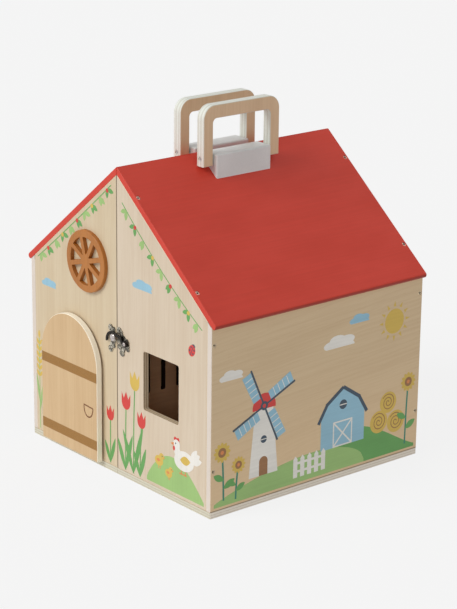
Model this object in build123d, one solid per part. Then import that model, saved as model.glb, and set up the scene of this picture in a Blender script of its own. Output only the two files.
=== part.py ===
from build123d import *
import math
import os

# A wooden toy farm that carries like a case. The house is cut at its ridge into
# two open-sided halves, hinged at the rear and latched at the front.
# Millimetres, +Z up. The ridge runs along Y over x = 0, the latched front gables
# face -Y, and the underside of the two base boards is z = 0.

# House
house_width = 270.0
house_depth = 254.0
ridge_height = 293.0
roof_pitch = 38.8
ply = 6.0
roof_board = 5.6
eave_overhang = 6.0
eave_round = 2.6
split_gap = 0.2
base_corner = 0.8
edge_break = 0.35

# Rooms
loft_height = 150.0
loft_board = 6.0
loft_setback = 12.0
groove = 2.0

# Window in the right front gable
window_inset = 70.5
window_sill = 75.0
window_width = 51.0
window_height = 56.0
window_corner = 2.5

# Arched door on the left front gable, and the doorway behind it
door_inset = 69.5
door_width = 88.0
door_spring = 96.0
door_board = 6.0
door_gap = 1.6
door_lap = 7.0
door_edge = 0.8

# Wheel window glued on the left front gable
wheel_x = 42.8
wheel_z = 196.2
wheel_radius = 29.3
wheel_rim = 6.5
wheel_hub = 6.8
wheel_board = 4.0
wheel_spoke = 4.4
wheel_spokes = 8
wheel_turn = 15.5
wheel_edge = 0.8

# Slotted fence in the left half
fence_x = 14.0
fence_board = 6.0
fence_length = 121.0
fence_top = 112.0
slot_foot = 65.0
slot_width = 5.5
slot_pitch = 18.3
slot_first = 26.2
slot_round_share = 0.3

# Stall divider in the right half
divider_y = 20.0
divider_board = 6.0
divider_top = 92.0
divider_front = 40.0
divider_corner = 24.0

# Carry handles and the blocks that they turn on
handle_inner = 12.0
handle_board = 10.0
handle_width = 90.0
handle_tall = 56.2
handle_leg = 11.0
handle_grip = 12.5
handle_corner = 12.5
handle_throat = 4.5
handle_edge = 0.9
foot_clearance = 0.65
pivot_rise = 7.0
pivot_play = 0.25
block_margin_in = 6.0
block_margin_out = 3.5
block_cover = 4.1
block_end_gap = 1.5
block_edge = 1.5

# Countersunk wood screws: head radius, shank radius, head depth, how far the head
# lies below the surface, length
screw_head = 2.1
screw_shank = 1.25
screw_cone = 1.4
screw_sink = 0.5
screw_length = 20.0
block_screw_length = 14.0
pivot_screw_length = 23.0
small_head = 1.6
small_shank = 0.8
small_cone = 0.7
board_cover = 2.0
hole_fit = 0.05
recess_share = 0.62
recess_width_share = 0.28
recess_point_share = 0.36
recess_tip_share = 0.12
recess_depth_share = 1.2

# Screw places
side_screw_height = 44.3
side_screw_drop = 16.1
roof_screw_ridge = 28.3
roof_screw_eave = 29.3
base_screw_seam = 18.0
base_screw_inset = 23.0
base_wall_screw_y = 60.0
block_screw_y = 9.0
fence_screw_gable = 21.0
fence_screw_end = 20.0
divider_screw_front = 15.0
divider_screw_wall = 14.0

# Rear butt hinges
rear_hinge_heights = (66.0, 212.0)
rear_leaf_width = 17.0
rear_leaf_height = 40.0
rear_leaf_plate = 1.2
rear_knuckle = 2.5
rear_pin = 1.2
rear_axis_offset = 2.7
rear_screw_pitch = 13.0

# Door butt hinges, hidden behind the door's left edge
door_hinge_rise = 28.0
door_hinge_drop = 8.0
door_leaf_width = 8.0
door_leaf_height = 20.0
door_leaf_plate = 0.7
door_knuckle = 1.5
door_pin = 0.65
door_axis_offset = 1.7
door_axis_side = 1.7
door_screw_pitch = 10.0

# Clearances in every hinge
pin_play = 0.1
knuckle_gap = 0.3
knuckle_side = 0.3
pin_cap = 0.8
pin_cap_rim = 0.7

# Latch across the front seam: a catch plate with a stud on the left half, and a
# plate with a swinging hook on the right half
stud_x = -2.7
stud_z = 133.3
stud_neck = 2.6
stud_head = 3.5
pivot_reach = 17.1
pivot_fall = 2.0
rivet_neck = 1.2
rivet_head = 1.9
rivet_collar = 2.3
latch_plate = 0.8
hook_plate = 1.2
hook_lift = 0.7
hook_play = 0.2
hook_width = 2.6
hook_eye = 3.2
hook_sweep = 8.9
hook_lean = 1.2
hook_rest_gap = 0.3
hook_tip_angle = 178.0
hook_heel_angle = 75.0
hook_eye_play = 0.15
rivet_tail = 1.0
cap_height = 1.1
cap_round_share = 0.7
nail_head = 1.15
nail_cap = 0.45
nail_shank = 0.55
nail_round_share = 0.8

# Two bends of the hook's arm, as (x, z) from the pivot
hook_knee = (-6.5, 4.1)
hook_elbow = (-2.9, -1.5)

# Latch plate outlines: lobe centres from the stud or the pivot, and lobe radii.
# The second lobe carries the stud or the rivet, and each other one has a nail.
# Leaves are lobes without a nail.
catch_lobes = ((-6.5, 7.6, 3.2), (-2.3, -0.7, 4.6), (-6.3, -12.4, 3.2))
catch_leaves = ((-1.9, 6.8, 2.3), (-1.9, -8.6, 2.3))
hook_lobes = ((-10.6, 9.7, 3.4), (-0.4, 0.2, 4.6), (-6.4, -10.4, 3.3), (2.0, -4.5, 2.8), (-10.2, 0.7, 3.0))
hook_leaves = ((-7.7, 8.4, 2.5), (-10.0, -5.3, 2.7))
plate_neck = 2.1

half_width = house_width / 2
half_depth = house_depth / 2
eave_reach = half_width + eave_overhang
slope = math.tan(math.radians(roof_pitch))
roof_sin = math.sin(math.radians(roof_pitch))
roof_cos = math.cos(math.radians(roof_pitch))
wall_inside = half_width - ply
window_x = half_width - window_inset
door_x = half_width - door_inset
gable_inside = half_depth - ply
gable_middle = half_depth - ply / 2
fence_end = -gable_inside + fence_length
roof_screw_places = (roof_screw_ridge, eave_reach - roof_screw_eave)
base_screw_places = (base_screw_seam, half_width - base_screw_inset)
fence_screw_places = (-gable_inside + fence_screw_gable, fence_end - fence_screw_end)
divider_screw_places = (divider_front + divider_screw_front, wall_inside - divider_screw_wall)
front_face = -half_depth
door_back = front_face - door_gap
door_front = door_back - door_board
door_axis_x = door_x + door_width / 2 + door_axis_side
door_axis_y = front_face - door_axis_offset
rear_axis_y = half_depth + rear_axis_offset
handle_middle = handle_inner + handle_board / 2
handle_half = handle_width / 2
block_half = handle_half - handle_leg - block_end_gap
block_inner = handle_inner - block_margin_in
block_outer = handle_inner + handle_board + block_margin_out
door_hinge_heights = (ply + door_hinge_rise, door_spring - door_hinge_drop)
small_length = rear_leaf_plate + ply - board_cover
nail_length = latch_plate + ply - board_cover
pivot_x = stud_x + pivot_reach
pivot_z = stud_z - pivot_fall


def roof_top(x):
    """Height of the roof's upper face over a distance x from the ridge."""
    return ridge_height - x * slope


def roof_underside(x):
    return roof_top(x) - roof_board / roof_cos


handle_foot = roof_top(handle_inner) + foot_clearance
handle_top = handle_foot + handle_tall
pivot_height = handle_foot + pivot_rise
block_top = pivot_height + block_cover
side_screw_heights = (side_screw_height, roof_underside(half_width) - side_screw_drop)


def block(x_from, x_to, y_from, y_to, z_from, z_to):
    low = (Align.MIN, Align.MIN, Align.MIN)
    size = Box(x_to - x_from, y_to - y_from, z_to - z_from, align=low)
    return Pos(x_from, y_from, z_from) * size


def rod(foot, direction, radius, length):
    """A cylinder that stands on foot and points along direction."""
    stand = (Align.CENTER, Align.CENTER, Align.MIN)
    return Plane(origin=foot, z_dir=direction) * Cylinder(radius, length, align=stand)


def plate_xz(points, y_from, y_to):
    """A board whose outline is given as (x, z) points."""
    outline = Polyline([(x, y_from, z) for x, z in points], close=True)
    return extrude(make_face(outline), amount=y_to - y_from, dir=(0, 1, 0))


def eased(board):
    """Takes the sharp arrises off a plain board."""
    return chamfer(board.edges(), edge_break)


def screw(places, head, shank, cone, length, drive=True, play=0.0, sink=0.0):
    """Countersunk screws at each place, pointing against its outward normal. With play
    and no drive it is the hole that the screw needs."""
    top = -sink if drive else 0
    rim = [(head + play, top)] if drive or not sink else [(head + play, 0), (head + play, -sink)]
    profile = [(0, top)] + rim + [(shank + play, -sink - cone), (shank + play, -length), (0, -length)]
    made = []
    for foot, outward in places:
        outline = make_face(Polyline([(r, 0, z) for r, z in profile], close=True))
        body = revolve(outline, Axis.Z)
        if drive:
            arm = head * recess_share
            for turn in (0, 90):
                slot = Box(2 * arm, head * recess_width_share, cone)
                body = body - Pos(0, 0, top) * Rot(0, 0, turn) * slot
            deep = cone * recess_depth_share
            point = Cone(head * recess_tip_share, head * recess_point_share, deep)
            body = body - Pos(0, 0, top - deep / 2) * point
        made.append(Plane(origin=foot, z_dir=outward) * body)
    return made


def wood_screws(places, length=screw_length):
    return screw(places, screw_head, screw_shank, screw_cone, length, sink=screw_sink)


def wood_holes(places, length=screw_length):
    return screw(places, screw_head, screw_shank, screw_cone, length, False, hole_fit, screw_sink)


def small_screws(places):
    return screw(places, small_head, small_shank, small_cone, small_length)


def small_holes(places):
    return screw(places, small_head, small_shank, small_cone, small_length, False, hole_fit)


def cut(body, tools):
    for tool in tools:
        body = body - tool
    return body


def mirrored(shape):
    return mirror(shape, about=Plane.YZ)


# Places of the wood screws on the right half, each with its outward normal
side_places = [((half_width, y, z), (1, 0, 0))
               for y in (-gable_middle, gable_middle) for z in side_screw_heights]
roof_places = [((x, y, roof_top(x)), (roof_sin, 0, roof_cos))
               for y in (-gable_middle, gable_middle) for x in roof_screw_places]
base_places = [((x, y, 0), (0, 0, -1))
               for y in (-gable_middle, gable_middle) for x in base_screw_places]
base_places += [((half_width - ply / 2, y, 0), (0, 0, -1))
                for y in (-base_wall_screw_y, base_wall_screw_y)]
fence_places = [((fence_x + fence_board / 2, y, 0), (0, 0, -1)) for y in fence_screw_places]
divider_places = [((x, divider_y + divider_board / 2, 0), (0, 0, -1)) for x in divider_screw_places]
block_middle = (block_inner + block_outer) / 2
block_places = [((block_middle, y, roof_underside(block_middle)), (-roof_sin, 0, -roof_cos))
                for y in (-block_screw_y, block_screw_y)]
pivot_places = [((handle_middle, side * handle_half, pivot_height), (0, side, 0))
                for side in (-1, 1)]


def base_board(screw_places):
    board = block(split_gap, half_width, -half_depth, half_depth, 0, ply)
    corners = board.edges().filter_by(Axis.Z).sort_by(Axis.X)[-2:]
    board = fillet(corners, base_corner)
    return cut(board, wood_holes(screw_places))


def loft_floor():
    floor = block(loft_setback, wall_inside + groove, -gable_inside - groove, gable_inside + groove,
                  loft_height, loft_height + loft_board)
    return floor


def side_wall():
    wall = plate_xz([(wall_inside, ply), (half_width, ply), (half_width, roof_underside(half_width)),
                     (wall_inside, roof_underside(wall_inside))], -half_depth, half_depth)
    wall = eased(wall) - loft_floor()
    return cut(wall, wood_holes(side_places) + wood_holes(base_places))


def gable(y_from):
    outline = [(split_gap, ply), (wall_inside, ply), (wall_inside, roof_underside(wall_inside)),
               (split_gap, roof_underside(split_gap))]
    board = eased(plate_xz(outline, y_from, y_from + ply)) - loft_floor()
    return cut(board, wood_holes(side_places) + wood_holes(roof_places) + wood_holes(base_places))


def window_cut():
    through = Plane.XZ.offset(half_depth + ply)
    middle = (window_x, window_sill + window_height / 2)
    opening = through * Pos(*middle) * RectangleRounded(window_width, window_height, window_corner)
    return extrude(opening, amount=3 * ply, dir=(0, 1, 0))


def arch(x, width, foot, spring, y_from, y_to):
    """An upright board or hole with a half-round top."""
    radius = width / 2
    left, right = x - radius, x + radius
    sides = Polyline((left, y_from, spring), (left, y_from, foot), (right, y_from, foot),
                     (right, y_from, spring))
    crown = ThreePointArc((right, y_from, spring), (x, y_from, spring + radius), (left, y_from, spring))
    return extrude(make_face([sides, crown]), amount=y_to - y_from, dir=(0, 1, 0))


def doorway_cut():
    width = door_width - 2 * door_lap
    return arch(door_x, width, 0, door_spring, front_face - ply, front_face + 2 * ply)


def roof_panel():
    """A sloping board with its eave edge rounded over."""
    eave_top = (eave_reach, roof_top(eave_reach))
    eave_low = (eave_reach - roof_board * roof_sin, roof_top(eave_reach) - roof_board * roof_cos)
    outline = [(split_gap, roof_top(split_gap)), eave_top, eave_low, (split_gap, roof_underside(split_gap))]
    board = plate_xz(outline, -half_depth, half_depth)
    board = fillet(board.edges().filter_by(Axis.Y).sort_by(Axis.X)[-2:], eave_round)
    arrises = board.edges().filter_by(Axis.Y).sort_by(Axis.X)[:2]
    for end in board.faces().filter_by(Axis.Y):
        arrises = arrises + end.edges()
    board = chamfer(arrises, edge_break)
    return cut(board, wood_holes(roof_places) + wood_holes(block_places, block_screw_length))


def handle_block():
    outline = [(block_inner, roof_top(block_inner)), (block_outer, roof_top(block_outer)),
               (block_outer, block_top), (block_inner, block_top)]
    body = plate_xz(outline, -block_half, block_half)
    exposed = [e for e in body.edges() if e.center().Z > roof_top(e.center().X) + block_edge]
    body = fillet(exposed, block_edge)
    holes = wood_holes(block_places, block_screw_length) + wood_holes(pivot_places, pivot_screw_length)
    return cut(body, holes)


def carry_handle():
    """An upright U with rounded shoulders, turning on a screw through each foot."""
    side = Plane.YZ.offset(handle_inner)
    tall = handle_top - handle_foot
    throat_width = handle_width - 2 * handle_leg
    throat_tall = tall - handle_grip
    outer = side * Pos(0, handle_foot + tall / 2) * Rectangle(handle_width, tall)
    throat = side * Pos(0, handle_foot + throat_tall / 2) * Rectangle(throat_width, throat_tall)
    board = extrude(outer, amount=handle_board) - extrude(throat, amount=handle_board)
    ridges = board.edges().filter_by(Axis.X)
    shoulders = [e for e in ridges if e.center().Z > handle_top - handle_grip / 2]
    board = fillet(shoulders, handle_corner)
    ridges = board.edges().filter_by(Axis.X)
    inside = [e for e in ridges if abs(e.center().Z - handle_foot - throat_tall) < handle_throat / 2
              and abs(abs(e.center().Y) - throat_width / 2) < handle_throat / 2]
    board = fillet(inside, handle_throat)
    faces = board.faces().filter_by(Axis.X)
    rims = [e for face in faces for e in face.edges()]
    board = fillet(rims, handle_edge)
    holes = screw(pivot_places, screw_head, screw_shank, screw_cone, pivot_screw_length, False, pivot_play,
                  screw_sink)
    return cut(board, holes)


def stall_divider():
    outline = [(divider_front, ply), (wall_inside, ply), (wall_inside, divider_top),
               (divider_front, divider_top)]
    board = plate_xz(outline, divider_y, divider_y + divider_board)
    corner = board.edges().filter_by(Axis.Y).sort_by(Axis.Z)[-2:].sort_by(Axis.X)[0]
    board = fillet(corner, divider_corner)
    return cut(board, wood_holes(divider_places))


def slotted_fence():
    """A fence with slots that open upwards, evenly spaced from its free end."""
    board = block(fence_x, fence_x + fence_board, -gable_inside, fence_end, ply, fence_top)
    place = slot_first
    while place < fence_length - slot_pitch:
        foot = block(0, fence_x + 2 * fence_board, fence_end - place - slot_width / 2,
                     fence_end - place + slot_width / 2, slot_foot, fence_top + ply)
        rounded = fillet(foot.edges().filter_by(Axis.X).sort_by(Axis.Z)[:2], slot_width * slot_round_share)
        board = board - rounded
        place += slot_pitch
    return cut(board, wood_holes(fence_places))


def wheel_window():
    """A flat disc with wedge-shaped holes between its spokes."""
    start = (wheel_x, front_face, wheel_z)
    disc = rod(start, (0, -1, 0), wheel_radius, wheel_board)
    rims = disc.faces().sort_by(Axis.Y)[0].edges()
    disc = fillet(rims, wheel_edge)
    ring = rod(start, (0, -1, 0), wheel_radius - wheel_rim, wheel_board)
    ring = ring - rod(start, (0, -1, 0), wheel_hub, wheel_board)
    reach = 2 * wheel_radius
    for index in range(wheel_spokes // 2):
        angle = 360 / wheel_spokes * index + wheel_turn
        bar = Rot(0, angle, 0) * Box(reach, 4 * wheel_board, wheel_spoke)
        ring = ring - Pos(*start) * bar
    return disc - ring


def leaf(width, height, plate, plate_from, knuckle, pin, shares, screw_pitch, seat):
    """One leaf of a butt hinge. The pin's axis is Z through the origin, the leaf
    reaches along +X, and its plate starts at y = plate_from. The knuckle fills the
    given shares of the height. The screws enter from the seat side."""
    clear = knuckle + knuckle_side
    body = block(clear, width, plate_from, plate_from + plate, -height / 2, height / 2)
    for low, high in shares:
        foot = -height / 2 + height * low + (knuckle_gap / 2 if low else 0)
        head = -height / 2 + height * high - (knuckle_gap / 2 if high < 1 else 0)
        body = body + block(0, clear, plate_from, plate_from + plate, foot, head)
        body = body + rod((0, 0, foot), (0, 0, 1), knuckle, head - foot)
    body = body - rod((0, 0, -height), (0, 0, 1), pin + pin_play, 2 * height)
    middle = (clear + width) / 2
    face = plate_from + plate if seat > 0 else plate_from
    holes = [((middle, face, z), (0, seat, 0)) for z in (-screw_pitch, 0, screw_pitch)]
    return body, holes


def hinge_pin(radius, height):
    pin = rod((0, 0, -height / 2), (0, 0, 1), radius, height)
    return pin + rod((0, 0, height / 2), (0, 0, 1), radius + pin_cap_rim, pin_cap)


def moved_places(places, shift):
    return [((x + shift[0], y + shift[1], z + shift[2]), outward) for (x, y, z), outward in places]


def flipped_places(places):
    return [((-x, y, z), (-nx, ny, nz)) for (x, y, z), (nx, ny, nz) in places]


outer_share = ((0, 1 / 3), (2 / 3, 1))
middle_share = ((1 / 3, 2 / 3),)


def rear_hinge(z):
    """Both leaves, the pin and the screw places of one rear hinge."""
    place = (0, rear_axis_y, z)
    right, holes = leaf(rear_leaf_width, rear_leaf_height, rear_leaf_plate, -rear_axis_offset,
                        rear_knuckle, rear_pin, middle_share, rear_screw_pitch, 1)
    left, _ = leaf(rear_leaf_width, rear_leaf_height, rear_leaf_plate, -rear_axis_offset,
                   rear_knuckle, rear_pin, outer_share, rear_screw_pitch, 1)
    right_places = moved_places(holes, place)
    left_places = flipped_places(right_places)
    right = Pos(*place) * cut(right, small_holes(holes))
    left = Pos(*place) * mirrored(cut(left, small_holes(holes)))
    return left, right, Pos(*place) * hinge_pin(rear_pin, rear_leaf_height), left_places, right_places


def door_hinge(z):
    """Both leaves, the pin and the screw places of one door hinge, at the door's
    left edge. The fixed leaf lies on the gable, the moving one on the door's back."""
    place = (-door_axis_x, door_axis_y, z)
    fixed_from = door_axis_offset - door_leaf_plate
    fixed, fixed_holes = leaf(door_leaf_width, door_leaf_height, door_leaf_plate, fixed_from, door_knuckle,
                              door_pin, outer_share, door_screw_pitch / 2, -1)
    fixed_holes = [hole for hole in fixed_holes if hole[0][2]]
    moving_from = door_axis_offset - door_gap
    moving, moving_holes = leaf(door_leaf_width, door_leaf_height, door_leaf_plate, moving_from,
                                door_knuckle, door_pin, middle_share, door_screw_pitch / 2, 1)
    moving_holes = [hole for hole in moving_holes if hole[0][2]]
    fixed = Pos(*place) * mirrored(cut(fixed, small_holes(fixed_holes)))
    moving = Pos(*place) * cut(moving, small_holes(moving_holes))
    fixed_places = moved_places(flipped_places(fixed_holes), place)
    moving_places = moved_places(moving_holes, place)
    return fixed, moving, Pos(*place) * hinge_pin(door_pin, door_leaf_height), fixed_places, moving_places


def strip(start, end, y, width, thick):
    """A flat strip with round ends between two (x, z) points. It reaches from y
    towards -Y."""
    x_from, z_from = start
    x_to, z_to = end
    reach = math.hypot(x_to - x_from, z_to - z_from)
    turn = math.degrees(math.atan2(z_from - z_to, x_to - x_from))
    middle = Pos((x_from + x_to) / 2, y - thick / 2, (z_from + z_to) / 2)
    made = middle * Rot(0, turn, 0) * Box(reach, thick, width)
    for x, z in (start, end):
        made = made + rod((x, y, z), (0, -1, 0), width / 2, thick)
    return made


def lobed_plate(centre_x, centre_z, lobes, leaves):
    """A thin plate of round lobes and leaves joined by narrow necks, with nail
    holes in the lobes."""
    middle = (centre_x + lobes[1][0], centre_z + lobes[1][1])
    plate = rod((middle[0], front_face, middle[1]), (0, -1, 0), lobes[1][2], latch_plate)
    for dx, dz, radius in lobes[:1] + lobes[2:] + leaves:
        x, z = centre_x + dx, centre_z + dz
        plate = plate + strip(middle, (x, z), front_face, 2 * plate_neck, latch_plate)
        plate = plate + rod((x, front_face, z), (0, -1, 0), radius, latch_plate)
    over = front_face - 2 * latch_plate
    for x, z in nail_spots(centre_x, centre_z, lobes):
        plate = plate - rod((x, over, z), (0, 1, 0), nail_shank + hole_fit, 3 * latch_plate)
    return plate - rod((centre_x, over, centre_z), (0, 1, 0), rivet_tail + hole_fit, 3 * latch_plate)


def nail_spots(centre_x, centre_z, lobes):
    return [(centre_x + dx, centre_z + dz) for dx, dz, _ in lobes[:1] + lobes[2:]]


def nails_at(spots):
    """Round-headed nails through a latch plate into the gable."""
    start = front_face - latch_plate
    made = []
    for x, z in spots:
        shank = rod((x, start, z), (0, 1, 0), nail_shank, nail_length)
        head = rod((x, start - nail_cap, z), (0, 1, 0), nail_head, nail_cap)
        made.append(shank + fillet(head.faces().sort_by(Axis.Y)[0].edges(), nail_cap * nail_round_share))
    return made


def nail_holes(spots):
    return [rod((x, front_face - latch_plate, z), (0, 1, 0), nail_shank + hole_fit, nail_length)
            for x, z in spots]


def headed_post(x, z, neck, head, collar):
    """A turned post on a latch plate: tail through the plate, collar, neck, head."""
    start = front_face - latch_plate
    neck_length = hook_lift + hook_plate + hook_play
    post = rod((x, front_face, z), (0, -1, 0), rivet_tail, latch_plate)
    post = post + rod((x, start, z), (0, -1, 0), neck, neck_length)
    if collar:
        post = post + rod((x, start, z), (0, -1, 0), collar, hook_lift - hook_play)
    cap = rod((x, start - neck_length, z), (0, -1, 0), head, cap_height)
    cap = fillet(cap.faces().sort_by(Axis.Y)[0].edges(), cap_height * cap_round_share)
    return post + cap


def latch_hook():
    """A flat hook: an eye on the rivet, a bent arm, and an arch over the stud."""
    near = front_face - latch_plate - hook_lift
    outer, inner = hook_sweep + hook_width / 2, hook_sweep - hook_width / 2
    centre_x = stud_x - hook_lean
    centre_z = stud_z - math.sqrt((inner - stud_neck - hook_rest_gap) ** 2 - hook_lean ** 2)

    def spot(angle, radius):
        turn = math.radians(angle)
        return (centre_x + radius * math.cos(turn), near, centre_z + radius * math.sin(turn))

    tip, heel = hook_tip_angle, hook_heel_angle
    outline = [ThreePointArc(spot(heel, outer), spot((tip + heel) / 2, outer), spot(tip, outer)),
               Line(spot(tip, outer), spot(tip, inner)),
               ThreePointArc(spot(tip, inner), spot((tip + heel) / 2, inner), spot(heel, inner)),
               Line(spot(heel, inner), spot(heel, outer))]
    body = extrude(make_face(outline), amount=hook_plate, dir=(0, -1, 0))
    heel_x, _, heel_z = spot(heel, hook_sweep)
    knee = (pivot_x + hook_knee[0], pivot_z + hook_knee[1])
    elbow = (pivot_x + hook_elbow[0], pivot_z + hook_elbow[1])
    body = body + strip((heel_x, heel_z), knee, near, hook_width, hook_plate)
    body = body + strip(knee, elbow, near, hook_width, hook_plate)
    body = body + rod(spot(tip, hook_sweep), (0, -1, 0), hook_width / 2, hook_plate)
    body = body + rod((pivot_x, near, pivot_z), (0, -1, 0), hook_eye, hook_plate)
    return body - rod((pivot_x, front_face, pivot_z), (0, -1, 0), rivet_neck + hook_eye_play, 4 * hook_eye)


def door_panel(screw_holes):
    board = arch(-door_x, door_width, ply, door_spring, door_front, door_back)
    rims = board.faces().sort_by(Axis.Y)[0].edges() + board.faces().sort_by(Axis.Y)[-1].edges()
    board = fillet(rims, door_edge)
    return cut(board, screw_holes)


parts = {}


def keep(name, *solids):
    parts[name] = solids[0] if len(solids) == 1 else Compound(children=list(solids))


# Hinges first, because the boards need their screw holes
hinge_names = ("lower", "upper")
rear_left_places = []
rear_right_places = []
for name, z in zip(hinge_names, rear_hinge_heights):
    left_leaf, right_leaf, pin, left_spots, right_spots = rear_hinge(z)
    keep(f"rear_hinge_{name}_left_leaf", left_leaf)
    keep(f"rear_hinge_{name}_right_leaf", right_leaf)
    keep(f"rear_hinge_{name}_pin", pin)
    rear_left_places += left_spots
    rear_right_places += right_spots

fixed_leaf_places = []
moving_leaf_places = []
for name, z in zip(hinge_names, door_hinge_heights):
    fixed_leaf, moving_leaf, pin, fixed_spots, moving_spots = door_hinge(z)
    keep(f"door_hinge_{name}_gable_leaf", fixed_leaf)
    keep(f"door_hinge_{name}_door_leaf", moving_leaf)
    keep(f"door_hinge_{name}_pin", pin)
    fixed_leaf_places += fixed_spots
    moving_leaf_places += moving_spots

keep("rear_hinge_screws_left", *small_screws(rear_left_places))
keep("rear_hinge_screws_right", *small_screws(rear_right_places))
keep("door_hinge_screws_gable", *small_screws(fixed_leaf_places))
keep("door_hinge_screws_door", *small_screws(moving_leaf_places))

# Latch
catch_spots = nail_spots(stud_x, stud_z, catch_lobes)
hook_spots = nail_spots(pivot_x, pivot_z, hook_lobes)
keep("latch_catch_plate", lobed_plate(stud_x, stud_z, catch_lobes, catch_leaves))
keep("latch_hook_plate", lobed_plate(pivot_x, pivot_z, hook_lobes, hook_leaves))
keep("latch_stud", headed_post(stud_x, stud_z, stud_neck, stud_head, 0))
keep("latch_rivet", headed_post(pivot_x, pivot_z, rivet_neck, rivet_head, rivet_collar))
keep("latch_hook", latch_hook())
keep("latch_catch_nails", *nails_at(catch_spots))
keep("latch_hook_nails", *nails_at(hook_spots))

# Right half, built in place
right_front = gable(-half_depth) - window_cut()
keep("right_front_gable", cut(right_front, nail_holes(hook_spots)))
keep("right_rear_gable", cut(gable(gable_inside), small_holes(rear_right_places)))
keep("right_base", base_board(base_places + divider_places))
keep("right_side_wall", side_wall())
keep("right_roof", roof_panel())
keep("right_loft_floor", loft_floor())
keep("right_stall_divider", stall_divider())
keep("right_handle_block", handle_block())
keep("right_handle", carry_handle())
keep("right_wall_screws", *wood_screws(side_places))
keep("right_roof_screws", *wood_screws(roof_places))
keep("right_base_screws", *wood_screws(base_places + divider_places))
keep("right_block_screws", *wood_screws(block_places, block_screw_length))
keep("right_pivot_screws", *wood_screws(pivot_places, pivot_screw_length))

# Left half, the right one's mirror image with its own gable and fence
left_front = mirrored(gable(-half_depth) - doorway_cut())
keep("left_front_gable", cut(left_front, nail_holes(catch_spots) + small_holes(fixed_leaf_places)))
keep("left_rear_gable", cut(mirrored(gable(gable_inside)), small_holes(rear_left_places)))
keep("left_base", mirrored(base_board(base_places + fence_places)))
keep("left_side_wall", mirrored(side_wall()))
keep("left_roof", mirrored(roof_panel()))
keep("left_loft_floor", mirrored(loft_floor()))
keep("left_slotted_fence", mirrored(slotted_fence()))
keep("left_handle_block", mirrored(handle_block()))
keep("left_handle", mirrored(carry_handle()))
keep("left_wheel_window", mirrored(wheel_window()))
keep("left_wall_screws", *wood_screws(flipped_places(side_places)))
keep("left_roof_screws", *wood_screws(flipped_places(roof_places)))
keep("left_base_screws", *wood_screws(flipped_places(base_places + fence_places)))
keep("left_block_screws", *wood_screws(flipped_places(block_places), block_screw_length))
keep("left_pivot_screws", *wood_screws(flipped_places(pivot_places), pivot_screw_length))

# Door
keep("door_panel", door_panel(small_holes(moving_leaf_places)))

os.makedirs("parts", exist_ok=True)
for name, shape in parts.items():
    export_step(shape, f"parts/{name}.step")
    print(name, len(shape.solids()), round(shape.volume, 1))
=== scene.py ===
# %% [markdown]
# # Dressing a wooden toy farm
# The object is a small plywood farmhouse that carries like a case. Its shape is
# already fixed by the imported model, so this lesson is about looks: how plywood,
# paint, stain, plated steel and printed ink are made from formulas, and how
# thin printed shapes are laid on a wall. Lengths are metres, as Blender has them.

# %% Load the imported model
import math

import bpy
import numpy as np
from mathutils import Matrix, Vector


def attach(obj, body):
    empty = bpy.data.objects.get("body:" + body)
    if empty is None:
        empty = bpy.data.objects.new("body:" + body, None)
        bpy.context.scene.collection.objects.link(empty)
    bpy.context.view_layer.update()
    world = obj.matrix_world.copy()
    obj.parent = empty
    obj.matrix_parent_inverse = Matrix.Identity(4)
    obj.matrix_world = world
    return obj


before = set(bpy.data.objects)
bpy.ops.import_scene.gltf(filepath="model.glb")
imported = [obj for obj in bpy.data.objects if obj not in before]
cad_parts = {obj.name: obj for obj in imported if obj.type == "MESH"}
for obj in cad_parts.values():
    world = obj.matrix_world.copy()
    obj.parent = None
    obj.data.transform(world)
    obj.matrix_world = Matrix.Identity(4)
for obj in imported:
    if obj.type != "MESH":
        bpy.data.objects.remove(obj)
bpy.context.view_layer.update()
MM = 0.001

# %% [markdown]
# ## The camera
# The picture is 457 by 609 pixels. The camera's place and turn were solved from
# the corners of the house, so the render can be laid over the photograph. The
# lens is long, as in most product pictures, which keeps the walls nearly parallel.

# %% Camera
CAMERA_YAW = math.radians(49.973)
CAMERA_PITCH = math.radians(17.746)
CAMERA_ROLL = math.radians(0.672)
CAMERA_PLACE = Vector((1.45761, -1.21957, 0.74825))
CAMERA_LENS = 124.85
SENSOR = 36.0


def make_camera():
    """The camera's axes: forward from yaw and pitch, then right and up turned by the roll."""
    forward = Vector((-math.sin(CAMERA_YAW) * math.cos(CAMERA_PITCH),
                      math.cos(CAMERA_YAW) * math.cos(CAMERA_PITCH), -math.sin(CAMERA_PITCH)))
    level = Vector((math.cos(CAMERA_YAW), math.sin(CAMERA_YAW), 0))
    above = level.cross(forward)
    right = math.cos(CAMERA_ROLL) * level + math.sin(CAMERA_ROLL) * above
    above = math.cos(CAMERA_ROLL) * above - math.sin(CAMERA_ROLL) * level
    data = bpy.data.cameras.new("portrait_camera")
    data.lens = CAMERA_LENS
    data.sensor_width = SENSOR
    camera = bpy.data.objects.new("portrait_camera", data)
    turn = Matrix((right, above, -forward)).transposed()
    camera.matrix_world = Matrix.Translation(CAMERA_PLACE) @ turn.to_4x4()
    bpy.context.scene.collection.objects.link(camera)
    bpy.context.scene.camera = camera
    return camera


camera = make_camera()
print("camera at", [round(c, 3) for c in camera.matrix_world.translation])

# %% [markdown]
# ## Building materials out of nodes
# A material here is a small net of nodes. Writing each node by hand takes many
# lines, so a few helpers do it: one adds a node and joins its sockets, and the
# others do arithmetic, mix colours, slide a value between ranges, make noise and
# start a group. Colours are given as the 0 to 255 values that a screen shows, and
# are turned into the linear light that Blender mixes.

# %% Node helpers
WHITE = (1, 1, 1, 1)
BLACK = (0, 0, 0, 1)


def screen(red, green, blue):
    """Screen values to linear light: c/12.92 below 0.04045, else ((c+0.055)/1.055)^2.4."""
    value = np.array((red, green, blue)) / 255
    linear = np.where(value <= 0.04045, value / 12.92, ((value + 0.055) / 1.055) ** 2.4)
    return (*map(float, linear), 1.0)


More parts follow.
